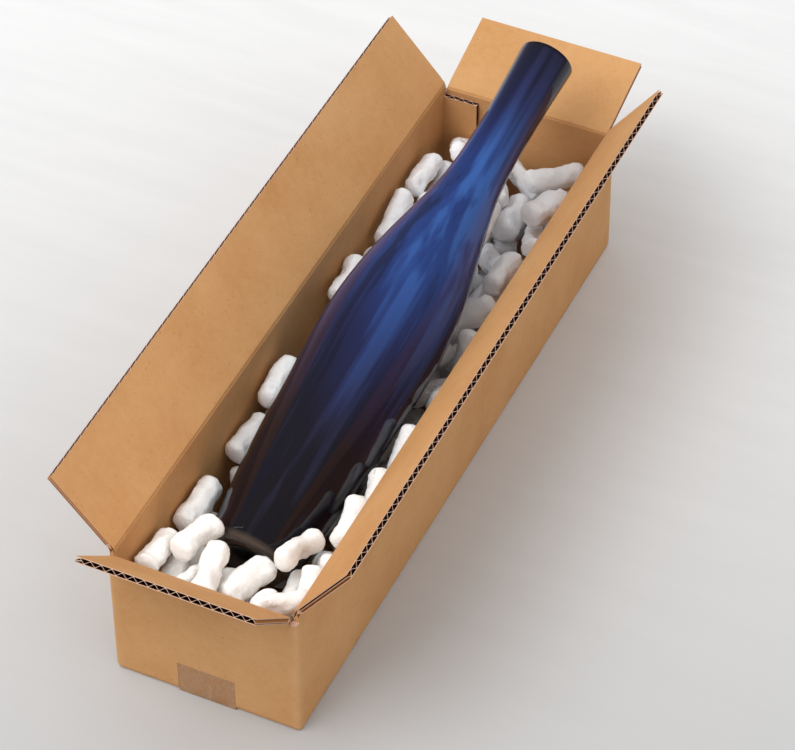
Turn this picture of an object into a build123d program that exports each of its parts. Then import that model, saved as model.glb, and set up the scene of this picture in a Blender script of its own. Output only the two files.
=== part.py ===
"""Bottle shipping box: a corrugated carton with its four top flaps open, a glass bottle lying
nose-up in it and the loose foam fill around the bottle.  Millimetres, +Z up, +Y towards the rear
end panel, origin at the centre of the carton's underside."""
from build123d import *
import math
import os
import random

# ---- carton: driving dimensions ------------------------------------------------------------
INNER_LENGTH = 508.0        # 20 in between the end walls
INNER_WIDTH = 127.0         # 5 in between the long walls
FOLD_HEIGHT = 110.0         # floor to the fold line of the long flaps
BOARD = 4.0                 # single-wall C-flute board
MEETING_GAP = 3.0           # between the two long flaps when they are folded shut
FOLD_CLEARANCE = 0.5        # allowed beyond one board thickness where one flap tucks under another
BOTTOM_SLOT = 1.0           # slot between neighbouring flaps at the bottom, closed up by the folds
CORNER_OUTER = 3.0          # outside radius of the four upright folds
CORNER_INNER = 1.0
LAYER_GAP = 0.2             # air between the two layers of the bottom
SEAM_GAP = 1.0              # between the two long bottom flaps
BOTTOM_ROUND = 2.0          # outside radius where a long wall turns under
COLUMN_DROP = 2.5           # slot floor, below the end flaps' fold line
OVERLAP = 1.0               # how far joined blocks run into each other, and cutters run past a face

# ---- the crushed score line at each top fold --------------------------------------------------
SCORE_REACH = 5.0           # crushed zone, each side of the fold line
SCORE_TIP = 0.5             # board ends this far from the fold line
SCORE_TIP_HALF = 0.1        # half thickness left there

# ---- flutes ---------------------------------------------------------------------------------
FLUTE_PITCH = 7.5
LINER = 0.45
MEDIUM = 0.3
CREST_HALF = 0.5            # half width of the flat top of a flute

# ---- glue tab, tape ---------------------------------------------------------------------------
TAB_WIDTH = 26.0
TAB_DROP = 4.5              # its top edge, below the end flaps' fold line
TAB_FLUTE_DEPTH = 15.0
TAPE_WIDTH = 42.0
TAPE_RISE = 27.0            # how far it turns up each end panel
TAPE_THICKNESS = 0.1
TAPE_RECESS = 0.15
TAPE_OFF = 0.01             # film of air behind the tape

# ---- how far each top flap stands open, from upright -------------------------------------------
OPEN_FRONT = 45.3
OPEN_REAR = 73.5
OPEN_LEFT = 41.0
OPEN_RIGHT = 35.6

# ---- bottle ---------------------------------------------------------------------------------
BOTTLE_LENGTH = 442.0
BOTTLE_BEHIND_WALL = 73.0   # centre of its base, behind the front wall's inner face
BOTTLE_ASIDE = -7.0         # the same point, off the box's middle line
BOTTLE_BASE_HEIGHT = 54.0
BOTTLE_TILT = 14.7          # mouth end up
BOTTLE_YAW = 3.35           # mouth end to the right
BASE_RADIUS = 33.0
BODY_RADIUS = 43.2
NECK_RADIUS = 18.4
MOUTH_RADIUS = 20.0
HEEL_RADIUS = 5.0
GLASS = 2.6
BASE_GLASS = 5.0
PUNT_DEPTH = 8.0
PUNT_RADIUS = 20.0

# ---- loose fill -------------------------------------------------------------------------------
FILL_RADIUS = (9.8, 11.0)
FILL_HALF = (9.0, 13.5)     # half the straight part of a piece
FILL_CLEAR = 0.25           # left between a piece and whatever it lies on
FILL_SEED = 11
FILL_LEFT_BELOW = 14.5      # top of the fill along the left wall, below the end flaps' fold line
FILL_RIGHT_BELOW = 9.5      # and along the right wall
FILL_FRONT_BELOW = 2.5      # heaped against the front wall
FILL_REAR_BELOW = 13.5      # and against the rear wall
FILL_HEAP = 105.0           # how far each heap reaches from its wall
FILL_HEAP_SLOPE = 60.0      # the sloping part of that
FILL_TRIES = 60             # places tried for each piece
FILL_GIVE_UP = 25           # pieces in a row that found no place
FILL_ALONG_SHARE = 0.6      # share of the pieces that lie roughly along the box
FILL_ALONG_SPREAD = 0.3     # how far those turn from it, in radians
FILL_SLOPE_SPREAD = 0.35    # how far pieces slope from level, in radians
FILL_AT_WALL_SHARE = 0.5    # share of the pieces that lie against a long wall
FILL_RISE = 2.0             # steps in which a place is looked for, from the floor up
FILL_DROP = 0.2             # steps of the last straight drop

# ---- worked out from the above ------------------------------------------------------------------
OUTER_LENGTH = INNER_LENGTH + 2 * BOARD
OUTER_WIDTH = INNER_WIDTH + 2 * BOARD
HALF_L = OUTER_LENGTH / 2
HALF_W = OUTER_WIDTH / 2
IN_L = INNER_LENGTH / 2
IN_W = INNER_WIDTH / 2
LAYER_STEP = BOARD + FOLD_CLEARANCE     # the end flaps fold lower, so they tuck under the long ones
SLOT = BOARD + FOLD_CLEARANCE           # between neighbouring top flaps, from the outer corner
END_FOLD = FOLD_HEIGHT - LAYER_STEP
FOLD_X = HALF_W - BOARD / 2
FOLD_Y = HALF_L - BOARD / 2
FLAP_DEPTH = FOLD_X - MEETING_GAP / 2   # all eight flaps of the blank are equally deep
SIDE_FLAP_WIDTH = OUTER_LENGTH - 2 * SLOT
END_FLAP_WIDTH = OUTER_WIDTH - 2 * SLOT
SECOND_LAYER = BOARD + LAYER_GAP
INNER_FLOOR = SECOND_LAYER + BOARD
COLUMN_TOP = END_FOLD - COLUMN_DROP
TAB_TOP = END_FOLD - TAB_DROP
BOTTLE_BASE_AT = (BOTTLE_ASIDE, -IN_L + BOTTLE_BEHIND_WALL, BOTTLE_BASE_HEIGHT)


def slab(x0, x1, y0, y1, z0, z1):
    """Rectangular block between two corners."""
    block = Box(x1 - x0, y1 - y0, z1 - z0)
    return Pos((x0 + x1) / 2, (y0 + y1) / 2, (z0 + z1) / 2) * block


def flute_voids(width):
    """The air between medium and liners across a board `width` long, as sketch faces in XY:
    X along the board, Y through its thickness.  Up and down voids alternate."""
    inner_half = BOARD / 2 - LINER
    rise = 2 * inner_half
    slope = math.atan2(rise, FLUTE_PITCH / 2)
    shy = MEDIUM / 2 / math.cos(slope)
    foot = FLUTE_PITCH / 2 * (1 - shy / rise)
    crest = inner_half - shy - rise * CREST_HALF / (FLUTE_PITCH / 2)
    count = int(width / FLUTE_PITCH) + 2
    voids = []
    for index in range(-count, count + 1):
        x = index * FLUTE_PITCH / 2
        side = 1 if index % 2 == 0 else -1
        corners = [(x - foot, -side * inner_half), (x + foot, -side * inner_half),
                   (x + CREST_HALF, side * crest), (x - CREST_HALF, side * crest)]
        if abs(x) - foot < width / 2:
            voids.append(make_face(Polyline(*corners, close=True)))
    return voids


def fluted_section(width):
    """Board section with every flute open, trimmed to `width`."""
    return Rectangle(width, BOARD) - flute_voids(width)


def score_wedge(width):
    """The crushed strip beside a fold line: X along the fold, Z away from it."""
    half = BOARD / 2
    outline = Polyline((-SCORE_TIP_HALF, SCORE_TIP), (SCORE_TIP_HALF, SCORE_TIP),
                       (half, SCORE_REACH), (-half, SCORE_REACH), close=True)
    face = make_face(Plane.YZ * outline)
    return Pos(-width / 2, 0, 0) * extrude(face, amount=width, dir=(1, 0, 0))


def flap(width):
    """One top flap standing upright on its fold line, with the fold line on the X axis."""
    panel = extrude(fluted_section(width), amount=FLAP_DEPTH - SCORE_REACH)
    return Pos(0, 0, SCORE_REACH) * panel + score_wedge(width)


def wall_top(width, fold_height):
    """The part of a wall above the corner columns, ending in its half of the score line."""
    base = END_FOLD - SCORE_REACH - OVERLAP
    neck = slab(-width / 2, width / 2, -BOARD / 2, BOARD / 2, base, fold_height - SCORE_REACH)
    return neck + Pos(0, 0, fold_height) * Rot(180, 0, 0) * score_wedge(width)


def ring(bottom, top):
    """The four walls between two heights, with their rounded upright folds."""
    outline = RectangleRounded(OUTER_WIDTH, OUTER_LENGTH, CORNER_OUTER)
    hollow = RectangleRounded(INNER_WIDTH, INNER_LENGTH, CORNER_INNER)
    return Pos(0, 0, bottom) * extrude(outline - hollow, amount=top - bottom)


def bottom_flaps():
    """Both layers of the closed bottom: long flaps outside, end flaps on top of them."""
    length = OUTER_LENGTH - 2 * BOTTOM_SLOT
    sheet = extrude(RectangleRounded(OUTER_WIDTH, length, CORNER_OUTER), amount=BOARD)
    under_edges = sheet.edges().filter_by(Axis.Y).group_by(Axis.Z)[0]
    sheet = fillet(under_edges, BOTTOM_ROUND)
    sheet -= slab(-SEAM_GAP / 2, SEAM_GAP / 2, -HALF_L, HALF_L, -OVERLAP, BOARD + OVERLAP)
    layers = [sheet]
    for side in (-1, 1):
        inner_end = side * (HALF_L - FLAP_DEPTH)
        outer_end = side * (HALF_L - BOARD / 2)
        low, high = sorted((inner_end, outer_end))
        layers.append(slab(-IN_W + LAYER_GAP, IN_W - LAYER_GAP, low, high, SECOND_LAYER, INNER_FLOOR))
    return layers


def glue_tab():
    """The joint of the blank: a strip turned in from the left wall and glued inside the rear wall."""
    bottom = INNER_FLOOR + LAYER_GAP
    free_edge = -IN_W + TAB_WIDTH
    tab = slab(-IN_W - OVERLAP, free_edge, IN_L - BOARD, IN_L + OVERLAP, bottom, TAB_TOP)
    middle = Pos(-IN_W + TAB_WIDTH / 2, IN_L - BOARD / 2, TAB_TOP - TAB_FLUTE_DEPTH)
    for void in flute_voids(TAB_WIDTH - FLUTE_PITCH):
        tab -= extrude(middle * void, amount=TAB_FLUTE_DEPTH + OVERLAP)
    return tab


def tape_recesses():
    """The shallow seat of the tape along the bottom seam and up both end panels."""
    half = TAPE_WIDTH / 2
    seats = [slab(-half, half, -HALF_L, HALF_L, -OVERLAP, TAPE_RECESS)]
    for side in (-1, 1):
        low, high = sorted((side * (HALF_L - TAPE_RECESS), side * (HALF_L + OVERLAP)))
        seats.append(slab(-half, half, low, high, -OVERLAP, TAPE_RISE))
    return seats


def carton_body():
    """Walls, glue tab and closed bottom: one folded blank, without its four top flaps."""
    body = ring(BOARD, END_FOLD - SCORE_REACH)
    for side in (-1, 1):
        low, high = sorted((side * IN_L, side * (HALF_L + OVERLAP)))
        body -= slab(-IN_W, IN_W, low, high, BOARD - OVERLAP, SECOND_LAYER)
        body += Pos(side * FOLD_X, 0, 0) * Rot(0, 0, 90) * wall_top(SIDE_FLAP_WIDTH, FOLD_HEIGHT)
        body += Pos(0, side * FOLD_Y, 0) * wall_top(END_FLAP_WIDTH, END_FOLD)
    columns = ring(END_FOLD - SCORE_REACH, COLUMN_TOP)
    for x_side in (-1, 1):
        for y_side in (-1, 1):
            x_low, x_high = sorted((x_side * (HALF_W - SLOT), x_side * (HALF_W + OVERLAP)))
            y_low, y_high = sorted((y_side * (HALF_L - SLOT), y_side * (HALF_L + OVERLAP)))
            body += columns & slab(x_low, x_high, y_low, y_high, 0, FOLD_HEIGHT)
    for layer in bottom_flaps():
        body += layer
    body += glue_tab()
    for seat in tape_recesses():
        body -= seat
    return body


def bottom_tape():
    """Clear tape over the bottom seam, turned up both ends; it lies in its seat just off the floor."""
    stand_off = TAPE_RECESS - TAPE_THICKNESS
    outer_y = HALF_L - stand_off
    inner_y = HALF_L - TAPE_RECESS + TAPE_OFF
    outer = Rectangle(2 * outer_y, TAPE_RISE - stand_off)
    inner = Rectangle(2 * inner_y, TAPE_RISE)
    outer = Pos(0, (TAPE_RISE + stand_off) / 2) * outer
    inner = Pos(0, TAPE_RISE / 2 + TAPE_RECESS - TAPE_OFF) * inner
    section = Plane.YZ * (outer - inner)
    return Pos(-TAPE_WIDTH / 2, 0, 0) * extrude(section, amount=TAPE_WIDTH, dir=(1, 0, 0))


# ---- bottle ---------------------------------------------------------------------------------
def bottle_profile():
    """Outer radius at each height up the bottle: base, tapered body, sloping shoulder, neck, lip."""
    length = BOTTLE_LENGTH
    return [(0.04 * length, BASE_RADIUS + 0.6), (0.15 * length, 0.897 * BODY_RADIUS),
            (0.30 * length, 0.962 * BODY_RADIUS), (0.42 * length, BODY_RADIUS),
            (0.52 * length, 0.921 * BODY_RADIUS), (0.62 * length, 0.725 * BODY_RADIUS),
            (0.72 * length, NECK_RADIUS + 3.4), (0.82 * length, NECK_RADIUS),
            (0.91 * length, NECK_RADIUS + 0.2), (length, MOUTH_RADIUS)]


def bottle_place():
    """Carries the upright bottle to where it lies: +Z of the bottle becomes its axis in the box."""
    return Pos(*BOTTLE_BASE_AT) * Rot(0, 0, -BOTTLE_YAW) * Rot(-(90 - BOTTLE_TILT), 0, 0)


def bottle_flank():
    """The bottle's outside from heel to lip: radius along X, height along Y."""
    return Spline(*[(radius, height) for height, radius in bottle_profile()])


def bottle():
    """Hollow glass bottle with a shallow punt and a plain cut mouth."""
    points = bottle_profile()
    outer = bottle_flank()
    inner = Spline(*[(r - GLASS, z) for z, r in points])
    outer_foot, outer_lip = outer @ 0, outer @ 1
    inner_foot, inner_lip = inner @ 0, inner @ 1
    heel = BASE_RADIUS - HEEL_RADIUS
    floor_edge = inner_foot.X - HEEL_RADIUS
    outline = [
        outer,
        Spline((heel, 0), (BASE_RADIUS - 1.2, HEEL_RADIUS - 2.2), outer_foot,
               tangents=[(1, 0), outer % 0]),
        Line((heel, 0), (PUNT_RADIUS, 0)),
        TangentArc((0, PUNT_DEPTH), (PUNT_RADIUS, 0), tangent=(1, 0)),
        Line((0, PUNT_DEPTH), (0, PUNT_DEPTH + BASE_GLASS)),
        Line((0, PUNT_DEPTH + BASE_GLASS), (floor_edge, PUNT_DEPTH + BASE_GLASS)),
        Line((floor_edge, PUNT_DEPTH + BASE_GLASS), inner_foot),
        inner,
        ThreePointArc(inner_lip, ((outer_lip.X + inner_lip.X) / 2, outer_lip.Y + GLASS / 2), outer_lip),
    ]
    section = make_face(Plane.XZ * (Curve() + outline))
    return bottle_place() * revolve(section, Axis.Z)


# ---- loose fill ---------------------------------------------------------------------------------
FLANK_STEPS = 40            # straight steps in which the bottle's flank is measured
PIECE_STEPS = 4             # the same for a piece's centre line
FAR_APART = 2 * (FILL_HALF[1] + FILL_RADIUS[1])


class Obstacles:
    """Distances from a round-ended piece, given as a centre line and a radius, to all it may touch."""

    def __init__(self):
        place = Plane(bottle_place())
        self.foot = tuple(place.origin)
        self.axis = tuple(place.z_dir)
        flank = [bottle_flank() @ (step / FLANK_STEPS) for step in range(FLANK_STEPS + 1)]
        self.outline = [(0.0, 0.0), (0.0, BASE_RADIUS)] + [(spot.Y, spot.X) for spot in flank]
        self.outline.append((BOTTLE_LENGTH + GLASS / 2, 0.0))
        self.pieces = []

    def bottle_distance(self, point):
        offset = [point[k] - self.foot[k] for k in range(3)]
        along = sum(offset[k] * self.axis[k] for k in range(3))
        away = math.sqrt(max(sum(value * value for value in offset) - along * along, 0.0))
        nearest = min(segment_distance_2d((along, away), a, b)
                      for a, b in zip(self.outline, self.outline[1:]))
        inside = 0 < along < BOTTLE_LENGTH + GLASS / 2 and away < radius_at(self.outline, along)
        return -nearest if inside else nearest

    def box_distance(self, point):
        x, y, z = point
        beside_tab = x < -IN_W + TAB_WIDTH + FILL_RADIUS[1] + FILL_CLEAR
        rear = IN_L - BOARD if beside_tab else IN_L
        step = math.hypot(max(HALF_L - FLAP_DEPTH - abs(y), 0), max(z - INNER_FLOOR, 0))
        return min(IN_W - abs(x), rear - y, IN_L + y, z - BOARD, step)

    def gap(self, piece):
        """Smallest gap between a piece and everything else; negative where it would cut in."""
        low, high, radius = piece
        smallest = math.inf
        for step in range(PIECE_STEPS + 1):
            share = step / PIECE_STEPS
            point = [low[k] + (high[k] - low[k]) * share for k in range(3)]
            smallest = min(smallest, self.box_distance(point) - radius)
            if smallest < FILL_CLEAR:
                return smallest
            smallest = min(smallest, self.bottle_distance(point) - radius)
            if smallest < FILL_CLEAR:
                return smallest
        for other_low, other_high, other_radius in self.pieces:
            if abs(other_low[1] + other_high[1] - low[1] - high[1]) / 2 > FAR_APART:
                continue
            apart = segment_distance(low, high, other_low, other_high)
            smallest = min(smallest, apart - radius - other_radius)
            if smallest < FILL_CLEAR:
                return smallest
        return smallest


def radius_at(outline, along):
    for (low, low_radius), (high, high_radius) in zip(outline, outline[1:]):
        if low <= along <= high and high > low:
            return low_radius + (high_radius - low_radius) * (along - low) / (high - low)
    return 0.0


def segment_distance_2d(point, a, b):
    ab = (b[0] - a[0], b[1] - a[1])
    length = ab[0] ** 2 + ab[1] ** 2
    share = ((point[0] - a[0]) * ab[0] + (point[1] - a[1]) * ab[1]) / length
    share = min(max(share, 0.0), 1.0)
    return math.hypot(point[0] - a[0] - ab[0] * share, point[1] - a[1] - ab[1] * share)


def segment_distance(p, q, r, s):
    """Shortest distance between the lines p-q and r-s, both of some length."""
    d1 = [q[k] - p[k] for k in range(3)]
    d2 = [s[k] - r[k] for k in range(3)]
    w = [p[k] - r[k] for k in range(3)]
    a = sum(v * v for v in d1)
    e = sum(v * v for v in d2)
    b = sum(d1[k] * d2[k] for k in range(3))
    c = sum(d1[k] * w[k] for k in range(3))
    f = sum(d2[k] * w[k] for k in range(3))
    across = a * e - b * b
    share = min(max((b * f - c * e) / across, 0.0), 1.0) if across > 1e-9 else 0.0
    other = (b * share + f) / e
    if other < 0:
        other = 0.0
        share = min(max(-c / a, 0.0), 1.0)
    elif other > 1:
        other = 1.0
        share = min(max((b - c) / a, 0.0), 1.0)
    apart = [w[k] + d1[k] * share - d2[k] * other for k in range(3)]
    return math.sqrt(sum(v * v for v in apart))


def fill_level(x, y):
    """How high the fill may reach at a place in the box."""
    across = (x + IN_W) / INNER_WIDTH
    below = FILL_LEFT_BELOW + (FILL_RIGHT_BELOW - FILL_LEFT_BELOW) * across
    for heap_below, from_wall in ((FILL_FRONT_BELOW, y + IN_L), (FILL_REAR_BELOW, IN_L - y)):
        share = min(max((FILL_HEAP - from_wall) / FILL_HEAP_SLOPE, 0.0), 1.0)
        below -= max(below - heap_below, 0.0) * share
    return END_FOLD - below


def make_piece(centre, yaw, tilt, half, radius):
    """A piece as the two ends of its centre line and its radius."""
    along = (math.cos(tilt) * math.sin(yaw), math.cos(tilt) * math.cos(yaw), math.sin(tilt))
    low = tuple(centre[k] - along[k] * half for k in range(3))
    high = tuple(centre[k] + along[k] * half for k in range(3))
    return low, high, radius


def lowest_place(obstacles, x, y, yaw, tilt, half, radius, ceiling):
    """Raises a piece from the floor until it first fits, and returns its height there."""
    z = radius + half * abs(math.sin(tilt)) + BOARD
    while z < ceiling:
        if obstacles.gap(make_piece((x, y, z), yaw, tilt, half, radius)) >= FILL_CLEAR:
            break
        z += FILL_RISE
    else:
        return None
    low, high = z - FILL_RISE, z
    for _ in range(5):
        middle = (low + high) / 2
        if obstacles.gap(make_piece((x, y, middle), yaw, tilt, half, radius)) >= FILL_CLEAR:
            high = middle
        else:
            low = middle
    return high


def settle(obstacles, state, half, radius, rng):
    """Small random moves, each kept only if the piece fits lower, then straight down to rest."""
    x, y, z, yaw, tilt = state
    for _ in range(30):
        trial = (x + rng.uniform(-4, 4), y + rng.uniform(-4, 4), z - rng.uniform(FILL_DROP, 3),
                 yaw + rng.uniform(-0.2, 0.2), tilt + rng.uniform(-0.2, 0.2))
        piece = make_piece(trial[:3], trial[3], trial[4], half, radius)
        if obstacles.gap(piece) >= FILL_CLEAR:
            x, y, z, yaw, tilt = trial
    while obstacles.gap(make_piece((x, y, z - FILL_DROP), yaw, tilt, half, radius)) >= FILL_CLEAR:
        z -= FILL_DROP
    return x, y, z, yaw, tilt


def random_lie(radius, stretch, rng):
    """A place and a direction for a piece; many lie along the box, and against its long walls."""
    x = rng.uniform(-IN_W + radius, IN_W - radius)
    if rng.random() < FILL_AT_WALL_SHARE:
        x = math.copysign(IN_W - radius - rng.uniform(FILL_CLEAR, 2), x)
    y = rng.uniform(stretch[0] + radius, stretch[1] - radius)
    yaw = rng.uniform(0, math.pi)
    if rng.random() < FILL_ALONG_SHARE:
        yaw = rng.gauss(0, FILL_ALONG_SPREAD)
    return x, y, yaw, rng.gauss(0, FILL_SLOPE_SPREAD)


def fill_stretch(obstacles, stretch, rng):
    """Drops pieces one by one into the lowest free pocket of a stretch until it is full."""
    failures = 0
    while failures < FILL_GIVE_UP:
        best = None
        half = rng.uniform(*FILL_HALF)
        radius = rng.uniform(*FILL_RADIUS)
        for _ in range(FILL_TRIES):
            x, y, yaw, tilt = random_lie(radius, stretch, rng)
            ceiling = fill_level(x, y) - half * abs(math.sin(tilt)) - radius
            if best is not None:
                ceiling = min(ceiling, best[2])
            z = lowest_place(obstacles, x, y, yaw, tilt, half, radius, ceiling)
            if z is not None:
                best = (x, y, z, yaw, tilt)
        if best is None:
            failures += 1
            continue
        failures = 0
        x, y, z, yaw, tilt = settle(obstacles, best, half, radius, rng)
        obstacles.pieces.append(make_piece((x, y, z), yaw, tilt, half, radius))


def settled_fill():
    """Fills the whole box to its level, then tops up the heaps at its two ends."""
    rng = random.Random(FILL_SEED)
    obstacles = Obstacles()
    fill_stretch(obstacles, (-IN_L, IN_L), rng)
    fill_stretch(obstacles, (-IN_L, -IN_L + FILL_HEAP), rng)
    fill_stretch(obstacles, (IN_L - FILL_HEAP, IN_L), rng)
    return obstacles.pieces


def foam_piece(piece):
    """A round-ended foam stick along its centre line."""
    low, high, radius = piece
    start = Vector(*low)
    along = Vector(*high) - start
    length = along.length
    side = Line((0, -radius), (0, length + radius))
    lower_end = RadiusArc((0, -radius), (radius, 0), -radius)
    flank = Line((radius, 0), (radius, length))
    upper_end = RadiusArc((radius, length), (0, length + radius), -radius)
    section = make_face(Plane.XZ * (Curve() + [side, lower_end, flank, upper_end]))
    return Plane(origin=start, z_dir=along.normalized()) * revolve(section, Axis.Z)


# ---- the assembly -------------------------------------------------------------------------------
nodes = {
    "carton_body": carton_body(),
    "bottom_tape": bottom_tape(),
    "flap_front": Pos(0, -FOLD_Y, END_FOLD) * Rot(OPEN_FRONT, 0, 0) * flap(END_FLAP_WIDTH),
    "flap_rear": Pos(0, FOLD_Y, END_FOLD) * Rot(-OPEN_REAR, 0, 0) * flap(END_FLAP_WIDTH),
    "flap_left": Pos(-FOLD_X, 0, FOLD_HEIGHT) * Rot(0, -OPEN_LEFT, 0) * Rot(0, 0, 90)
    * flap(SIDE_FLAP_WIDTH),
    "flap_right": Pos(FOLD_X, 0, FOLD_HEIGHT) * Rot(0, OPEN_RIGHT, 0) * Rot(0, 0, 90)
    * flap(SIDE_FLAP_WIDTH),
    "bottle": bottle(),
}

thirds = {"loose_fill_front": [], "loose_fill_middle": [], "loose_fill_rear": []}
for fill_piece in settled_fill():
    middle_y = (fill_piece[0][1] + fill_piece[1][1]) / 2
    third = min(int((middle_y + IN_L) / (INNER_LENGTH / 3)), 2)
    thirds[list(thirds)[third]].append(foam_piece(fill_piece))
for name, pieces in thirds.items():
    nodes[name] = Compound(children=pieces)

os.makedirs("parts", exist_ok=True)
for name, shape in nodes.items():
    export_step(shape, "parts/" + name + ".step")
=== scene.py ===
"""Looks of the bottle shipping box: kraft board with real creases and cut edges, dark blue glass,
dented foam fill, clear tape, pale floor, soft light and the camera."""
import math
import random

import bmesh
import bpy
import numpy as np
from mathutils import Matrix, Vector, noise

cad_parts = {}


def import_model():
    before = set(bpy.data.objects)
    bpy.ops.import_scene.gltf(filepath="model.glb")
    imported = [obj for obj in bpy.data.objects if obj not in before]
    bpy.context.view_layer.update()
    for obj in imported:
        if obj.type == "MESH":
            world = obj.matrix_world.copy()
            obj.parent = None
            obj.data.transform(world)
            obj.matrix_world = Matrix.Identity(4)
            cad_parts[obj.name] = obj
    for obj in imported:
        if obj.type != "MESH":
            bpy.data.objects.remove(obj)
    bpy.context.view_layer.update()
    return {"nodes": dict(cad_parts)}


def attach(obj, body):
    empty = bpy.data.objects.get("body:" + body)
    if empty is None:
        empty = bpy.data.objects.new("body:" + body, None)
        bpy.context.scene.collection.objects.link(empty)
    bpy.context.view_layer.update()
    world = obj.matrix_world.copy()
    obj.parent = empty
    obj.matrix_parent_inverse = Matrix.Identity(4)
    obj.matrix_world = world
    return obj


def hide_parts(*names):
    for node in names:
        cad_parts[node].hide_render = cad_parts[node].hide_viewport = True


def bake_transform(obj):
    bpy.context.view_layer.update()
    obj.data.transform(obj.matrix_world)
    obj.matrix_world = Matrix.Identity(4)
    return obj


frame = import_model()
nodes = frame["nodes"]
MM = 0.001

# ---- sizes shared with the CAD model, in millimetres ---------------------------------------------
FOLD_HEIGHT = 110.0
END_FOLD = 105.5
FOLD_X = 65.5
FOLD_Y = 256.0
BOARD = 4.0
FLAP_DEPTH = 64.0
SCORE_REACH = 5.0
SIDE_FLAP_WIDTH = 507.0
END_FLAP_WIDTH = 126.0
FLUTE_PITCH = 7.5
TAB_TOP = 101.0
TAB_EDGE = -37.5
COLUMN_TOP = 103.0
WALL_X = 63.5
WALL_Y = 254.0

# each top flap: fold line's centre, outward direction, direction along the fold, width, opening
FLAPS = {
    "flap_front": ((0, -FOLD_Y, END_FOLD), (0, -1, 0), (1, 0, 0), END_FLAP_WIDTH, 45.3),
    "flap_rear": ((0, FOLD_Y, END_FOLD), (0, 1, 0), (-1, 0, 0), END_FLAP_WIDTH, 73.5),
    "flap_left": ((-FOLD_X, 0, FOLD_HEIGHT), (-1, 0, 0), (0, -1, 0), SIDE_FLAP_WIDTH, 41.0),
    "flap_right": ((FOLD_X, 0, FOLD_HEIGHT), (1, 0, 0), (0, 1, 0), SIDE_FLAP_WIDTH, 35.6),
}

BOTTLE_LENGTH = 442.0
BOTTLE_BASE_AT = (-7.0, -181.0, 54.0)
BOTTLE_TILT = 14.7
BOTTLE_YAW = 3.35
BASE_RADIUS = 33.0
BODY_RADIUS = 43.2
NECK_RADIUS = 18.4
MOUTH_RADIUS = 20.0
HEEL_RADIUS = 5.0
GLASS = 2.6
PUNT_DEPTH = 8.0
PUNT_RADIUS = 20.0
PUNT_GLASS = 5.0             # glass over the punt


def srgb(red, green, blue):
    """Linear colour from 0-255 display values."""
    def linear(value):
        value /= 255
        return value / 12.92 if value <= 0.04045 else ((value + 0.055) / 1.055) ** 2.4
    return linear(red), linear(green), linear(blue), 1.0


# ---- node trees ------------------------------------------------------------------------------
class Tree:
    """Short calls for building a material's nodes."""

    def __init__(self, name):
        self.material = bpy.data.materials.new(name)
        self.material.use_nodes = True
        self.tree = self.material.node_tree
        self.tree.nodes.clear()

    def node(self, kind, inputs=None, **settings):
        made = self.tree.nodes.new(kind)
        for key, value in settings.items():
            setattr(made, key, value)
        for key, value in (inputs or {}).items():
            self.put(made.inputs[key], value)
        return made

    def put(self, socket, value):
        if isinstance(value, bpy.types.NodeSocket):
            self.tree.links.new(value, socket)
        else:
            socket.default_value = value

    def math(self, operation, first, second=0.0):
        return self.node("ShaderNodeMath", {0: first, 1: second}, operation=operation).outputs[0]

    def vector(self, operation, first, second):
        made = self.node("ShaderNodeVectorMath", {0: first, 1: second}, operation=operation)
        return made.outputs["Value" if operation == "DOT_PRODUCT" else "Vector"]

    def mix(self, share, first, second):
        made = self.node("ShaderNodeMix", data_type="RGBA")
        self.put(made.inputs["Factor"], share)
        self.put(made.inputs[6], first)
        self.put(made.inputs[7], second)
        return made.outputs[2]

    def ramp(self, value, low, high, to_low=0.0, to_high=1.0):
        made = self.node("ShaderNodeMapRange", {0: value, 1: low, 2: high, 3: to_low, 4: to_high})
        made.clamp = True
        return made.outputs[0]

    def curve(self, value, stops):
        made = self.node("ShaderNodeValToRGB", {0: value})
        band = made.color_ramp
        while len(band.elements) < len(stops):
            band.elements.new(0.5)
        for element, (place, colour) in zip(band.elements, stops):
            element.position = place
            element.color = colour
        return made.outputs[0]

    def noise(self, vector, scale, detail=3.0, roughness=0.5, distortion=0.0):
        made = self.node("ShaderNodeTexNoise", {"Vector": vector, "Scale": scale, "Detail": detail,
                                                "Roughness": roughness, "Distortion": distortion})
        return made.outputs[0]

    def scaled(self, vector, factors):
        return self.vector("MULTIPLY", vector, factors)

    def bump(self, height, distance, strength=1.0, normal=None):
        inputs = {"Height": height, "Distance": distance, "Strength": strength}
        if normal is not None:
            inputs["Normal"] = normal
        return self.node("ShaderNodeBump", inputs).outputs[0]

    def finish(self, shader):
        out = self.node("ShaderNodeOutputMaterial")
        self.tree.links.new(shader, out.inputs["Surface"])
        return self.material


def object_position(tree):
    return tree.node("ShaderNodeTexCoord").outputs["Object"]


# ---- kraft board -----------------------------------------------------------------------------
KRAFT = srgb(202, 149, 95)
KRAFT_DEEP = srgb(180, 124, 74)
KRAFT_PALE = srgb(217, 172, 124)
FLECK_DARK = srgb(140, 90, 50)
CUT_EDGE = srgb(206, 172, 152)
# painted shade for the hollows inside the board's flutes
FLUTE_HOLLOW_SHADE = srgb(84, 50, 34)


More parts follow.
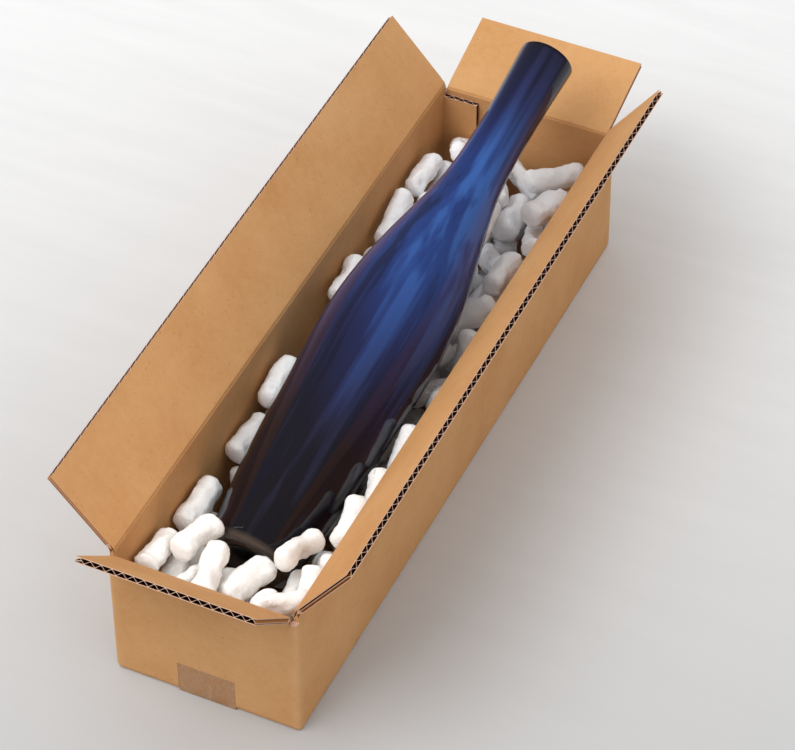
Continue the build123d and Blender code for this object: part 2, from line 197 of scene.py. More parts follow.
def kraft_colour(tree, place):
    """Brown liner: broad clouding, pulp flecks and short fibres running every way."""
    cloud = tree.noise(place, 14.0, 4.0, 0.55)
    colour = tree.mix(tree.ramp(cloud, 0.3, 0.7), KRAFT_DEEP, KRAFT_PALE)
    colour = tree.mix(0.62, colour, KRAFT)
    mottle = tree.noise(place, 160.0, 4.0, 0.6)
    colour = tree.mix(tree.ramp(mottle, 0.35, 0.68, 0.0, 0.22), colour, KRAFT_PALE)
    fleck = tree.noise(tree.vector("ADD", place, (3.1, 1.7, 0.4)), 520.0, 2.0, 0.6, 1.2)
    colour = tree.mix(tree.ramp(fleck, 0.62, 0.74, 0.0, 0.42), colour, FLECK_DARK)
    light_fleck = tree.noise(tree.vector("ADD", place, (7.3, 4.1, 2.2)), 430.0, 2.0, 0.6, 1.6)
    colour = tree.mix(tree.ramp(light_fleck, 0.64, 0.76, 0.0, 0.5), colour, KRAFT_PALE)
    return colour, mottle, fleck


def washboard(tree, along):
    """The faint ripple of the flutes under the liner, from a distance in metres along the board."""
    turns = tree.math("MULTIPLY", along, 2 * math.pi / (FLUTE_PITCH * MM))
    return tree.math("SINE", turns)


def kraft_surface(tree, colour, mottle, fleck, ripple):
    relief = tree.bump(ripple, 0.05 * MM, 0.35)
    relief = tree.bump(mottle, 0.12 * MM, 0.5, relief)
    relief = tree.bump(fleck, 0.10 * MM, 0.5, relief)
    rough = tree.ramp(mottle, 0.3, 0.7, 0.72, 0.88)
    shader = tree.node("ShaderNodeBsdfPrincipled", {"Base Color": colour, "Roughness": rough,
                                                    "Normal": relief})
    shader.inputs["Specular IOR Level"].default_value = 0.22
    return shader.outputs[0]


def flap_material(name):
    """Kraft liner outside, painted shade in the flute hollows inside and pale cut edges, laid out in the
    flap's own plane.
    """
    centre, outward, along, width, opening = FLAPS[name]
    angle = math.radians(opening)
    out = Vector(outward)
    up = Vector((0, 0, 1))
    reach_axis = up * math.cos(angle) + out * math.sin(angle)
    face_axis = out * math.cos(angle) - up * math.sin(angle)
    tree = Tree("kraft_" + name)
    place = object_position(tree)
    offset = tree.vector("SUBTRACT", place, tuple(v * MM for v in centre))
    reach = tree.vector("DOT_PRODUCT", offset, tuple(reach_axis))
    depth = tree.math("ABSOLUTE", tree.vector("DOT_PRODUCT", offset, tuple(face_axis)))
    run = tree.vector("DOT_PRODUCT", offset, along)
    colour, mottle, fleck = kraft_colour(tree, place)
    # rubbed strip beside the fold
    fold = tree.ramp(reach, 3 * MM, 9 * MM, 1.0, 0.0)
    colour = tree.mix(tree.math("MULTIPLY", fold, 0.25), colour, KRAFT_PALE)
    free_edge = tree.math("GREATER_THAN", reach, (FLAP_DEPTH - 0.05) * MM)
    side_edge = tree.math("GREATER_THAN", tree.math("ABSOLUTE", run), (width / 2 - 0.05) * MM)
    cut = tree.math("MAXIMUM", free_edge, side_edge)
    inside = tree.math("LESS_THAN", depth, (BOARD / 2 - 0.1) * MM)
    past_score = tree.math("GREATER_THAN", reach, (SCORE_REACH + 0.1) * MM)
    hollow = tree.math("MULTIPLY", inside, past_score)
    fray = tree.noise(place, 900.0, 3.0)
    edge_colour = tree.mix(tree.ramp(fray, 0.35, 0.65), CUT_EDGE, KRAFT_DEEP)
    beside_edge = tree.math("GREATER_THAN", tree.math("ABSOLUTE", run), (width / 2 - FLUTE_PITCH / 2) * MM)
    # painted shade: the hollow inside the board is coloured very dark, save within half a flute pitch of a
    # side edge, which keeps the deep kraft colour
    colour = tree.mix(hollow, colour, tree.mix(beside_edge, FLUTE_HOLLOW_SHADE, KRAFT_DEEP))
    colour = tree.mix(cut, colour, tree.mix(0.35, CUT_EDGE, edge_colour))
    return tree.finish(kraft_surface(tree, colour, mottle, fleck, washboard(tree, run)))


def body_material():
    """Kraft liner on the walls and bottom; pale cut edges at the glue tab's top and painted shade in its
    flutes below that.
    """
    tree = Tree("kraft_carton")
    place = object_position(tree)
    normal = tree.node("ShaderNodeTexCoord").outputs["Normal"]
    split = tree.node("ShaderNodeSeparateXYZ", {0: place})
    facing = tree.node("ShaderNodeSeparateXYZ", {0: normal})
    x, y, z = split.outputs
    on_end = tree.math("GREATER_THAN", tree.math("ABSOLUTE", facing.outputs[1]), 0.7)
    run = tree.node("ShaderNodeMix", {"Factor": on_end, 2: y, 3: x}, data_type="FLOAT").outputs[0]
    colour, mottle, fleck = kraft_colour(tree, place)
    # upright folds: the liner is stretched and rubbed pale along the corner
    from_x = tree.ramp(tree.math("ABSOLUTE", x), (WALL_X - 4) * MM, (WALL_X + 3.5) * MM)
    from_y = tree.ramp(tree.math("ABSOLUTE", y), (WALL_Y - 4) * MM, (WALL_Y + 3.5) * MM)
    corner = tree.math("MULTIPLY", from_x, from_y)
    worn = tree.math("MULTIPLY", corner, tree.ramp(tree.noise(place, 90.0), 0.35, 0.7, 0.25, 0.7))
    colour = tree.mix(worn, colour, KRAFT_PALE)
    # scuffed lower edge
    low = tree.ramp(z, 1.0 * MM, 7.0 * MM, 1.0, 0.0)
    scuff = tree.math("MULTIPLY", low, tree.ramp(tree.noise(place, 60.0), 0.4, 0.65, 0.0, 0.5))
    colour = tree.mix(scuff, colour, KRAFT_DEEP)
    # glue tab
    in_tab = tree.math("MULTIPLY", tree.math("GREATER_THAN", y, (WALL_Y - BOARD + 0.1) * MM),
                       tree.math("LESS_THAN", y, (WALL_Y - 0.1) * MM))
    in_tab = tree.math("MULTIPLY", in_tab, tree.math("LESS_THAN", x, (TAB_EDGE + 0.05) * MM))
    in_tab = tree.math("MULTIPLY", in_tab, tree.math("GREATER_THAN", x, -WALL_X * MM))
    above = tree.math("GREATER_THAN", z, (TAB_TOP - 0.05) * MM)
    tab_top = tree.math("MULTIPLY", in_tab, above)
    tab_hole = tree.math("MULTIPLY", in_tab, tree.math("SUBTRACT", 1.0, above))
    # painted shade: inside the glue tab's board, below its top, the flutes are coloured very dark
    colour = tree.mix(tab_hole, colour, FLUTE_HOLLOW_SHADE)
    colour = tree.mix(tab_top, colour, CUT_EDGE)
    # slot floors at the four corners
    slot_floor = tree.math("MULTIPLY", tree.math("GREATER_THAN", z, (COLUMN_TOP - 0.02) * MM),
                           tree.math("GREATER_THAN", facing.outputs[2], 0.9))
    colour = tree.mix(slot_floor, colour, CUT_EDGE)
    return tree.finish(kraft_surface(tree, colour, mottle, fleck, washboard(tree, run)))


def crease_material():
    tree = Tree("kraft_crease")
    place = object_position(tree)
    colour, mottle, fleck = kraft_colour(tree, place)
    # painted shade along each crease: the middle of the fold is darkened towards the deep kraft colour,
    # broken up by noise
    fold = tree.node("ShaderNodeAttribute", attribute_name="fold").outputs["Fac"]
    broken = tree.ramp(tree.noise(place, 75.0, 3.0), 0.3, 0.7, 0.2, 0.7)
    colour = tree.mix(tree.math("MULTIPLY", fold, broken), colour, KRAFT_DEEP)
    return tree.finish(kraft_surface(tree, colour, mottle, fleck, 0.0))


# place up the bottle and colour: the glass's own blue with painted light and shade along it, and painted
# reflection streaks
GLASS_TINT_AND_LIGHT = [(0.0, srgb(20, 16, 20)), (0.22, srgb(24, 21, 34)), (0.40, srgb(33, 38, 78)),
              (0.56, srgb(38, 62, 124)), (0.72, srgb(36, 56, 116)), (0.85, srgb(30, 34, 70)),
              (1.0, srgb(24, 22, 40))]
# painted reflection colours for the streaks along the glass
GLASS_REFLECTION = [(0.0, srgb(30, 28, 34)), (0.25, srgb(44, 46, 78)), (0.45, srgb(50, 80, 144)),
              (0.72, srgb(62, 106, 180)), (0.88, srgb(52, 62, 112)), (1.0, srgb(36, 34, 60))]


def glass_material():
    """Dark blue glass: its own blue with painted light and shade along the bottle, near black at the base and
    bright at the shoulder, and painted reflection streaks, light and dark.
    """
    tree = Tree("blue_glass")
    place = object_position(tree)
    turn = (Matrix.Rotation(math.radians(-BOTTLE_YAW), 3, "Z")
            @ Matrix.Rotation(math.radians(-(90 - BOTTLE_TILT)), 3, "X")).to_euler()
    local = tree.node("ShaderNodeMapping", {"Vector": place, "Location": [v * MM for v in BOTTLE_BASE_AT],
                                            "Rotation": turn}, vector_type="TEXTURE").outputs[0]
    along = tree.node("ShaderNodeSeparateXYZ", {0: local}).outputs[2]
    share = tree.math("DIVIDE", along, BOTTLE_LENGTH * MM)
    wander = tree.noise(tree.scaled(local, (30, 30, 4)), 1.0, 2.0)
    share = tree.math("ADD", share, tree.ramp(wander, 0.3, 0.7, -0.05, 0.05))
    # the curve mixes the glass's own blue with painted light and shade: near black at the base, bright at the
    # shoulder, dark again at the mouth
    tint_and_light = tree.curve(share, GLASS_TINT_AND_LIGHT)
    reflection_colour = tree.curve(share, GLASS_REFLECTION)
    # painted reflections: long light streaks and dark streaks along the bottle
    reflection_streak = tree.noise(tree.scaled(local, (62, 62, 1.5)), 1.0, 3.0, 0.55)
    tint_and_light = tree.mix(tree.ramp(reflection_streak, 0.53, 0.62, 0.0, 0.8), tint_and_light, reflection_colour)
    tint_and_light = tree.mix(tree.ramp(reflection_streak, 0.46, 0.36, 0.0, 0.6), tint_and_light, srgb(18, 16, 34))
    # painted reflections: thin light lines along the bottle
    thin_reflection = tree.noise(tree.scaled(tree.vector("ADD", local, (3, 1, 0)), (210, 210, 3.0)), 1.0, 1.0)
    tint_and_light = tree.mix(tree.ramp(thin_reflection, 0.66, 0.72, 0.0, 0.35), tint_and_light, reflection_colour)
    lip = tree.ramp(along, (BOTTLE_LENGTH - 2.2) * MM, (BOTTLE_LENGTH - 0.6) * MM)
    tint_and_light = tree.mix(lip, tint_and_light, srgb(16, 14, 26))
    foot = tree.ramp(along, 1.0 * MM, 5.0 * MM, 0.5, 0.0)
    tint_and_light = tree.mix(foot, tint_and_light, srgb(120, 104, 90))
    wave = tree.noise(tree.scaled(local, (60, 60, 14)), 1.0, 1.0)
    shader = tree.node("ShaderNodeBsdfPrincipled", {"Base Color": tint_and_light,
                                                    "Normal": tree.bump(wave, 0.6 * MM, 0.2)})
    shader.inputs["Roughness"].default_value = 0.05
    shader.inputs["IOR"].default_value = 1.5
    shader.inputs["Specular IOR Level"].default_value = 0.3
    shader.inputs["Transmission Weight"].default_value = 0.2
    return tree.finish(shader.outputs[0])


def foam_material():
    """Extruded foam: closed skin with fine cells and small pits."""
    tree = Tree("white_foam")
    place = object_position(tree)
    tone = tree.node("ShaderNodeAttribute", attribute_name="tone").outputs["Fac"]
    colour = tree.mix(tone, srgb(253, 251, 247), srgb(248, 250, 254))
    soft = tree.noise(place, 120.0, 3.0)
    colour = tree.mix(tree.ramp(soft, 0.4, 0.75, 0.0, 0.16), colour, srgb(232, 228, 226))
    cells = tree.node("ShaderNodeTexVoronoi", {"Vector": place, "Scale": 900.0}).outputs["Distance"]
    pits = tree.noise(place, 420.0, 4.0, 0.65)
    colour = tree.mix(tree.ramp(pits, 0.63, 0.74, 0.0, 0.35), colour, srgb(196, 188, 180))
    relief = tree.bump(soft, 2.2 * MM, 0.7)
    relief = tree.bump(cells, 0.30 * MM, 0.5, relief)
    relief = tree.bump(pits, 0.55 * MM, 0.7, relief)
    shader = tree.node("ShaderNodeBsdfPrincipled", {"Base Color": colour, "Normal": relief})
    shader.inputs["Roughness"].default_value = 0.7
    shader.inputs["Subsurface Weight"].default_value = 0.25
    shader.inputs["Subsurface Radius"].default_value = (0.004, 0.004, 0.004)
    shader.inputs["Subsurface Scale"].default_value = 0.6
    shader.inputs["Specular IOR Level"].default_value = 0.3
    return tree.finish(shader.outputs[0])


def tape_material():
    """Clear packing tape: a thin film that greys the board a little, with long draw lines."""
    tree = Tree("clear_tape")
    place = object_position(tree)
    lines = tree.noise(tree.scaled(place, (900, 6, 30)), 1.0, 2.0)
    bubbles = tree.noise(place, 210.0, 3.0, 0.6)
    colour = tree.mix(tree.ramp(bubbles, 0.42, 0.7), srgb(196, 150, 108), srgb(206, 166, 128))
    relief = tree.bump(lines, 0.05 * MM, 0.4)
    relief = tree.bump(bubbles, 0.12 * MM, 0.35, relief)
    cover = tree.ramp(bubbles, 0.35, 0.75, 0.30, 0.55)
    shader = tree.node("ShaderNodeBsdfPrincipled", {"Base Color": colour, "Normal": relief,
                                                    "Alpha": cover})
    shader.inputs["Roughness"].default_value = 0.28
    shader.inputs["Coat Weight"].default_value = 0.4
    shader.inputs["Coat Roughness"].default_value = 0.2
    return tree.finish(shader.outputs[0])


# ---- meshes ----------------------------------------------------------------------------------
def new_object(name, vertices, faces, material, smooth=True):
    mesh = bpy.data.meshes.new(name)
    mesh.from_pydata([tuple(v) for v in vertices], [], faces)
    mesh.validate()
    mesh.update()
    work = bmesh.new()
    work.from_mesh(mesh)
    bmesh.ops.recalc_face_normals(work, faces=work.faces)
    work.to_mesh(mesh)
    work.free()
    mesh.polygons.foreach_set("use_smooth", [smooth] * len(mesh.polygons))
    mesh.set_sharp_from_angle(angle=math.radians(40))
    made = bpy.data.objects.new(name, mesh)
    bpy.context.scene.collection.objects.link(made)
    mesh.materials.append(material)
    return made


def dress(node, material):
    """Gives a CAD node its material."""
    piece = nodes[node]
    piece.data.materials.clear()
    piece.data.materials.append(material)
    return piece


CREASE_LAP = 3.0            # how far a crease strip laps over the flat board, each side
CREASE_SKIN = 0.45          # liner thickness of the strip
CREASE_PROUD = 0.05
CREASE_ROUND = {"inner": 2.2, "outer": 3.2}     # how far from the corner the liner starts to turn
CREASE_DENT = {"inner": 0.35, "outer": 0.0}     # the pressed line along the middle
CREASE_STEPS = 14


def crease_strip(flap_name, side, material):
    """The liner that carries on over a fold, as a thin closed strip shaped to the flap's opening."""
    centre, outward, along, width, opening = FLAPS[flap_name]
    angle = math.radians(opening)
    sign = -1.0 if side == "inner" else 1.0
    # in the plane across the fold: first number outward, second up
    flap_run = np.array((math.sin(angle), math.cos(angle)))
    flap_face = np.array((math.cos(angle), -math.sin(angle))) * sign
    wall_run = np.array((0.0, -1.0))
    wall_face = np.array((1.0, 0.0)) * sign
    crest_axis = (flap_face + wall_face) / np.linalg.norm(flap_face + wall_face)

    def rail(lift, tuck):
        """Points across the fold at a height over the board's face; `tuck` sinks the two ends."""
        reach = BOARD / 2 + lift
        corner = crest_axis * reach / math.cos(angle / 2)
        turn = CREASE_ROUND[side]
        spots = [wall_run * (SCORE_REACH + CREASE_LAP) + wall_face * (reach - tuck),
                 wall_run * SCORE_REACH + wall_face * reach]
        start, end = corner + wall_run * turn, corner + flap_run * turn
        for step in range(CREASE_STEPS + 1):
            t = step / CREASE_STEPS
            spot = start * (1 - t) ** 2 + corner * 2 * t * (1 - t) + end * t ** 2
            dent = math.exp(-((t - 0.5) / 0.16) ** 2) * CREASE_DENT[side]
            spots.append(spot - crest_axis * dent)
        spots.append(flap_run * SCORE_REACH + flap_face * reach)
        spots.append(flap_run * (SCORE_REACH + CREASE_LAP) + flap_face * (reach - tuck))
        return spots

    upper = rail(CREASE_PROUD, 2 * CREASE_PROUD)
    lower = rail(-CREASE_SKIN, 0.0)
    loop = upper + lower[::-1]
    folds = [0.0] * len(loop)
    for index in range(len(loop)):
        from_middle = abs(index % len(upper) - (len(upper) - 1) / 2)
        folds[index] = max(0.0, 1 - from_middle / 3)
    out, run = Vector(outward), Vector(along)
    origin = Vector(centre)
    stations = max(8, int(width / 9))
    vertices, fold_values = [], []
    for station in range(stations + 1):
        shift = (station / stations - 0.5) * (width - 0.6)
        waver = noise.noise(Vector((shift * 0.06, opening, 5.0 if side == "inner" else 9.0)))
        for index, point in enumerate(loop):
            point = point + crest_axis * 0.16 * waver * folds[index]
            spot = origin + out * float(point[0]) + Vector((0, 0, float(point[1]))) + run * shift
            vertices.append(spot * MM)
            fold_values.append(folds[index])
    count = len(loop)
    faces = []
    for station in range(stations):
        for index in range(count):
            following = (index + 1) % count
            base = station * count
            faces.append((base + index, base + following, base + count + following, base + count + index))
    half = len(upper)
    for station in (0, stations):
        base = station * count
        for index in range(half - 1):
            faces.append((base + index, base + index + 1, base + count - 2 - index, base + count - 1 - index))
    strip = new_object("crease_%s_%s" % (flap_name[5:], side), vertices, faces, material)
    layer = strip.data.attributes.new("fold", "FLOAT", "POINT")
    layer.data.foreach_set("value", fold_values)

    def world(point):
        spot = origin + out * float(point[0]) + Vector((0, 0, float(point[1])))
        return tuple(spot * MM)

    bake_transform(strip)
    return strip


def bottle_profile_points():
    """(height, radius) at the same places up the bottle as in the CAD model."""
    return [(0.04, BASE_RADIUS + 0.6), (0.15, 0.897 * BODY_RADIUS), (0.30, 0.962 * BODY_RADIUS),
            (0.42, BODY_RADIUS), (0.52, 0.921 * BODY_RADIUS), (0.62, 0.725 * BODY_RADIUS),
            (0.72, NECK_RADIUS + 3.4), (0.82, NECK_RADIUS), (0.91, NECK_RADIUS + 0.2),
            (1.0, MOUTH_RADIUS)]


def smooth_curve(points, samples):
    """Cubic spline (free ends) through (place, value) points, sampled evenly."""
    x = np.array([p[0] for p in points])
    y = np.array([p[1] for p in points])
    gap = np.diff(x)
    size = len(x)
    system = np.eye(size)
    right = np.zeros(size)
    for k in range(1, size - 1):
        system[k, k - 1:k + 2] = gap[k - 1], 2 * (gap[k - 1] + gap[k]), gap[k]
        right[k] = 6 * ((y[k + 1] - y[k]) / gap[k] - (y[k] - y[k - 1]) / gap[k - 1])
    bend = np.linalg.solve(system, right)
    places = np.linspace(x[0], x[-1], samples)
    spans = np.clip(np.searchsorted(x, places) - 1, 0, size - 2)
    h = gap[spans]
    a = (x[spans + 1] - places) / h
    b = 1 - a
    values = (a * y[spans] + b * y[spans + 1]
              + ((a ** 3 - a) * bend[spans] + (b ** 3 - b) * bend[spans + 1]) * h ** 2 / 6)
    return list(zip(places, values))


def bottle_mesh(material):
    """The bottle turned as a smooth hollow form and laid where the CAD bottle lies."""
    flank = [(h * BOTTLE_LENGTH, r) for h, r in smooth_curve(bottle_profile_points(), 90)]
    outer = []
    for step in range(9):
        t = step / 8
        radius = PUNT_RADIUS * t
        outer.append((PUNT_DEPTH * (1 - t * t), radius))
    heel = BASE_RADIUS - HEEL_RADIUS
    outer.append((0.0, heel))
    foot_height, foot_radius = flank[0]
    for step in range(1, 8):
        turn = math.pi / 2 * step / 8
        outer.append((foot_height * (1 - math.cos(turn)) * 0.55,
                      heel + (foot_radius - heel) * math.sin(turn)))
    outer += flank
    lip_middle = MOUTH_RADIUS - GLASS / 2
    rim = [(BOTTLE_LENGTH + GLASS / 2 * math.sin(turn), lip_middle + GLASS / 2 * math.cos(turn))
           for turn in [math.pi * k / 8 for k in range(1, 8)]]
    inner = [(h, r - GLASS) for h, r in reversed(flank)]
    floor = PUNT_DEPTH + PUNT_GLASS
    inner += [(floor + 1.0, foot_radius - GLASS - 3.5), (floor, foot_radius - GLASS - 8.0),
              (floor, 8.0), (floor, 0.0)]
    profile = outer + rim + inner
    segments = 96
    turn = (Matrix.Rotation(math.radians(-BOTTLE_YAW), 4, "Z")
            @ Matrix.Rotation(math.radians(-(90 - BOTTLE_TILT)), 4, "X"))
    place = Matrix.Translation(Vector(BOTTLE_BASE_AT)) @ turn
    vertices = []
    rings = []
    for height, radius in profile:
        if radius < 1e-6:
            rings.append([len(vertices)])
            vertices.append(place @ Vector((0, 0, height)) * MM)
            continue
        ring = []
        for k in range(segments):
            angle = 2 * math.pi * k / segments
            ring.append(len(vertices))
            vertices.append(place @ Vector((radius * math.cos(angle), radius * math.sin(angle), height)) * MM)
        rings.append(ring)
    faces = []
    for low, high in zip(rings, rings[1:]):
        for k in range(segments):
            following = (k + 1) % segments
            if len(low) == 1:
                faces.append((low[0], high[k], high[following]))
            elif len(high) == 1:
                faces.append((low[k], low[following], high[0]))
            else:
                faces.append((low[k], low[following], high[following], high[k]))
    made = new_object("bottle_glass", vertices, faces, material)
    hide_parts("bottle")
    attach(made, "root")
    return made


def foam_islands(node):
    """Centre, direction, half length and radius of every stick in a loose-fill node."""
    mesh = nodes[node].data
    work = bmesh.new()
    work.from_mesh(mesh)
    bmesh.ops.remove_doubles(work, verts=work.verts, dist=1e-6)
    work.verts.ensure_lookup_table()
    seen = set()
    sticks = []
    for start in work.verts:
        if start.index in seen:
            continue
        seen.add(start.index)
        stack, island = [start], []
        while stack:
            vertex = stack.pop()
            island.append(vertex.co[:])
            for edge in vertex.link_edges:
                other = edge.other_vert(vertex)
                if other.index not in seen:
                    seen.add(other.index)
                    stack.append(other)
        points = np.array(island)
        middle = (points.min(0) + points.max(0)) / 2
        spread = points - points.mean(0)
        _, _, axes = np.linalg.svd(spread, full_matrices=False)
        axis = axes[0]
        if axis[int(np.argmax(np.abs(axis)))] < 0:
            axis = -axis
        along = points @ axis
        reach = (along.max() - along.min()) / 2
        middle = middle + axis * ((along.max() + along.min()) / 2 - middle @ axis)
        off = points - middle
        off = off - np.outer(off @ axis, axis)
        sticks.append((middle, axis, reach, np.linalg.norm(off, axis=1).max()))
    work.free()
    sticks.sort(key=lambda stick: tuple(np.round(stick[0], 5)))
    return sticks


FOAM_SEED = 40
FOAM_BEND = (0.0004, 0.0024)            # how far the middle bows out, metres
FOAM_WAIST = (-0.03, 0.10)              # share of the radius lost in the middle
FOAM_TAPER = 0.07                       # share of the radius that one end may lose
FOAM_CUT = (2.6, 6.0)                   # how squarely an end is cut, as a power
FOAM_CAP = (0.55, 0.95)                 # length of an end's rounding, in radii
FOAM_FLAT = (0.86, 1.0)                 # how far the stick is pressed flat across
FOAM_DENTS = 6
FOAM_DENT_REACH = 0.75                  # dents lie within this share of the half length
FOAM_DENT_DEPTH = (0.0008, 0.0028)
FOAM_DENT_SIZE = (0.0035, 0.0075)
FOAM_LUMPS = ((85, 0.0014), (240, 0.0011), (600, 0.0004))   # noise scale and height
FOAM_SINK = 0.0007                      # mean depth of the lumps under the skin
FOAM_PROUD = 0.0003                     # most that a lump stands proud
FOAM_TIP = 0.985                        # where the end's middle point lies, as a share of the half length


def foam_stick(centre, axis, reach, radius, rng, rings=22, segments=28):
    """One bent, dented and roughly cut foam stick, laid where the CAD stick lies."""
    axis = Vector(axis)
    side = axis.orthogonal().normalized()
    side.rotate(Matrix.Rotation(rng.uniform(0, 2 * math.pi), 3, axis))
    other = axis.cross(side)
    bend = rng.uniform(*FOAM_BEND)
    waist = rng.uniform(*FOAM_WAIST)
    taper = rng.uniform(-FOAM_TAPER, FOAM_TAPER)
    cuts = (rng.uniform(*FOAM_CUT), rng.uniform(*FOAM_CUT))
    caps = (radius * rng.uniform(*FOAM_CAP), radius * rng.uniform(*FOAM_CAP))
    flat = rng.uniform(*FOAM_FLAT)
    dents = [(rng.uniform(-FOAM_DENT_REACH, FOAM_DENT_REACH) * reach, rng.uniform(0, 2 * math.pi),
              rng.uniform(*FOAM_DENT_DEPTH), rng.uniform(*FOAM_DENT_SIZE)) for _ in range(FOAM_DENTS)]
    seed = Vector((rng.uniform(0, 90), rng.uniform(0, 90), rng.uniform(0, 90)))
    vertices, loops = [], []
    for ring in range(rings + 1):
        along = -math.cos(math.pi * ring / rings) * reach
        which = 0 if along < 0 else 1
        past = max(abs(along) - (reach - caps[which]), 0.0) / caps[which]
        profile = math.sqrt(max(1 - past ** cuts[which], 0.0))
        share = along / reach
        profile *= 1 - waist * (1 - share ** 2) - abs(taper) + taper * share
        curve = bend * (share ** 2 - 0.45)
        if ring in (0, rings):
            loops.append([len(vertices)])
            vertices.append(Vector(centre) + axis * along * FOAM_TIP + side * curve)
            continue
        loop = []
        for k in range(segments):
            turn = 2 * math.pi * k / segments
            spread = side * (math.cos(turn) * flat) + other * math.sin(turn)
            spot = Vector(centre) + axis * along + side * curve + spread * (radius * profile)
            lump = sum(noise.noise(spot * scale + seed) * height for scale, height in FOAM_LUMPS)
            lump -= FOAM_SINK
            for dent_along, dent_turn, depth, size in dents:
                off = math.hypot(along - dent_along, radius * math.sin((turn - dent_turn) / 2) * 2)
                lump -= depth * math.exp(-(off / size) ** 2)
            spot += spread * min(lump, FOAM_PROUD)
            loop.append(len(vertices))
            vertices.append(spot)
        loops.append(loop)
    faces = []
    for low, high in zip(loops, loops[1:]):
        for k in range(segments):
            following = (k + 1) % segments
            if len(low) == 1:
                faces.append((low[0], high[following], high[k]))
            elif len(high) == 1:
                faces.append((low[k], low[following], high[0]))
            else:
                faces.append((low[k], low[following], high[following], high[k]))
    return vertices, faces


def foam_fill(node, material, seed):
    """All the sticks of one loose-fill node, as one piece."""
    rng = random.Random(seed)
    vertices, faces, tones = [], [], []
    for centre, axis, reach, radius in foam_islands(node):
        more, sides = foam_stick(centre, axis, reach, radius, rng)
        base = len(vertices)
        vertices += more
        faces += [tuple(base + index for index in side) for side in sides]
        coolness = min(max((centre[1] + 0.15) / 0.3 + rng.uniform(-0.3, 0.3), 0.0), 1.0)
        tones += [coolness] * len(more)
    made = new_object("foam_" + node.split("_")[-1], vertices, faces, material)
    layer = made.data.attributes.new("tone", "FLOAT", "POINT")
    layer.data.foreach_set("value", tones)
    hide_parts(node)
    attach(made, "root")
    return made


# ---- floor, light, camera ---------------------------------------------------------------------
# painted light and shade on the floor: pale towards the back left, grey towards the front right
FLOOR_LIT = srgb(233, 233, 233)
FLOOR_SHADED = srgb(176, 176, 176)
FLOOR_CORNERS = [(-6, -6, 0), (6, -6, 0), (6, 6, 0), (-6, 6, 0)]


def floor_and_backdrop():
    tree = Tree("studio_floor")
    place = object_position(tree)
    split = tree.node("ShaderNodeSeparateXYZ", {0: place})
    # painted shade: the floor's colour darkens towards the front right
    shade_slope = tree.math("ADD", tree.math("MULTIPLY", split.outputs[0], 0.25),
                      tree.math("MULTIPLY", split.outputs[1], -0.75))
    colour = tree.mix(tree.ramp(shade_slope, -0.40, 0.36), FLOOR_LIT, FLOOR_SHADED)
    grain = tree.noise(tree.scaled(place, (5, 46, 1)), 1.0, 5.0, 0.6)
    colour = tree.mix(tree.ramp(grain, 0.35, 0.7, 0.0, 0.12), colour, srgb(180, 180, 180))
    shader = tree.node("ShaderNodeBsdfPrincipled", {"Base Color": colour})
    shader.inputs["Roughness"].default_value = 0.85
    shader.inputs["Specular IOR Level"].default_value = 0.1
    material = tree.finish(shader.outputs[0])
    made = new_object("studio_floor", FLOOR_CORNERS,
                      [(0, 1, 2, 3)], material, smooth=False)


def area_light(name, place, target, size, power, glossy):
    data = bpy.data.lights.new(name, "AREA")
    data.shape = "RECTANGLE"
    data.size, data.size_y = size
    data.energy = power
    lamp = bpy.data.objects.new(name, data)
    lamp.location = place
    lamp.rotation_euler = (Vector(target) - Vector(place)).to_track_quat("-Z", "Y").to_euler()
    lamp.visible_glossy = glossy
    bpy.context.scene.collection.objects.link(lamp)


# name, place, target, size, power, seen in reflections
LAMPS = [
    ("key_front_left", (-0.9, -1.3, 2.4), (0, 0, 0.1), (2.0, 1.6), 46, False),
    ("fill_right", (1.7, -0.9, 1.8), (0, 0, 0.05), (1.6, 1.2), 10, False),
    ("top_soft", (-0.3, 0.5, 2.6), (0, 0, 0), (2.2, 2.2), 14, False),
    ("edge_strip", (-1.2, -0.6, 1.1), (0, 0, 0.1), (0.05, 1.4), 1.2, True),
]
WORLD_LEVEL = 0.60
WORLD_IN_GLASS = 0.30


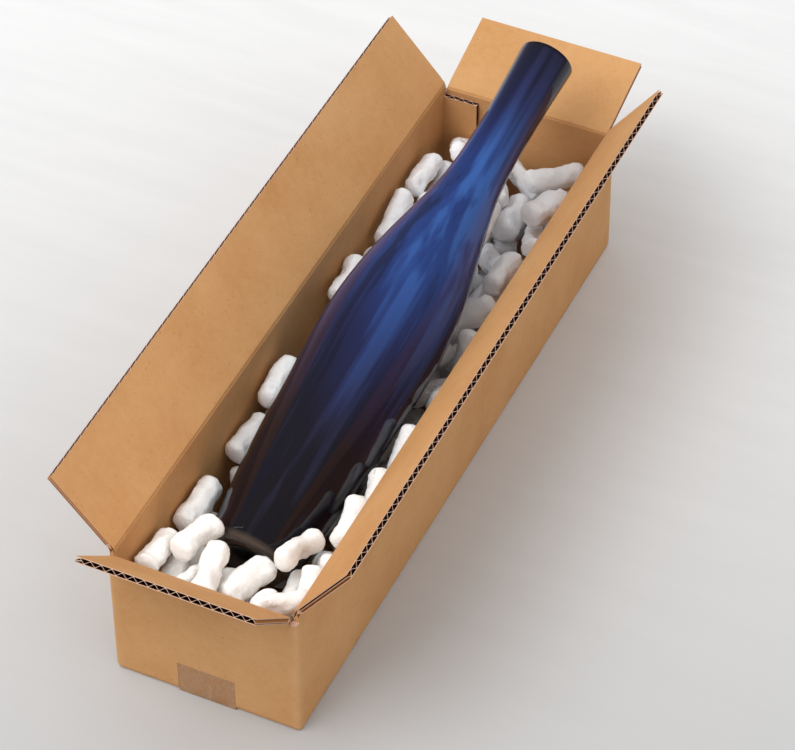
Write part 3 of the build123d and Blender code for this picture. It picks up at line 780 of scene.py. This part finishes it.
def studio():
    for lamp in LAMPS:
        area_light(*lamp)
    world = bpy.data.worlds.new("studio_world")
    world.use_nodes = True
    background = world.node_tree.nodes["Background"]
    background.inputs[0].default_value = (1, 1, 1, 1)
    path = world.node_tree.nodes.new("ShaderNodeLightPath")
    level = world.node_tree.nodes.new("ShaderNodeMapRange")
    level.inputs[3].default_value = WORLD_LEVEL
    level.inputs[4].default_value = WORLD_IN_GLASS
    world.node_tree.links.new(path.outputs["Is Glossy Ray"], level.inputs[0])
    world.node_tree.links.new(level.outputs[0], background.inputs[1])
    bpy.context.scene.world = world
    bpy.context.scene.view_settings.view_transform = "Standard"


CAMERA_TURNS = (25.53, 44.63, -0.54)     # azimuth, elevation and roll, degrees
CAMERA_TARGET = (0.0097, 0.0141, 0.0582)
CAMERA_DISTANCE = 2.5445
CAMERA_LENS = 167.4


def camera():
    azimuth, elevation, roll = (math.radians(v) for v in CAMERA_TURNS)
    back = Vector((math.sin(azimuth) * math.cos(elevation), -math.cos(azimuth) * math.cos(elevation),
                   math.sin(elevation)))
    right = (-back).cross(Vector((0, 0, 1))).normalized()
    up = back.cross(right)
    across = right * math.cos(roll) + up * math.sin(roll)
    above = up * math.cos(roll) - right * math.sin(roll)
    data = bpy.data.cameras.new("camera")
    data.sensor_width = 36.0
    data.lens = CAMERA_LENS
    data.clip_start, data.clip_end = 0.05, 50
    eye = Vector(CAMERA_TARGET) + back * CAMERA_DISTANCE
    made = bpy.data.objects.new("camera", data)
    turn = Matrix((across, above, back)).transposed()
    made.matrix_world = Matrix.Translation(eye) @ turn.to_4x4()
    bpy.context.scene.collection.objects.link(made)
    bpy.context.scene.camera = made


# ---- assembly --------------------------------------------------------------------------------
dress("carton_body", body_material())
for flap_name in FLAPS:
    dress(flap_name, flap_material(flap_name))
dress("bottom_tape", tape_material())
crease = crease_material()
for flap_name in FLAPS:
    for side in ("inner", "outer"):
        crease_strip(flap_name, side, crease)
bottle_mesh(glass_material())
foam = foam_material()
for seed, node in enumerate(("loose_fill_front", "loose_fill_middle", "loose_fill_rear")):
    foam_fill(node, foam, FOAM_SEED + seed)
floor_and_backdrop()
studio()
camera()
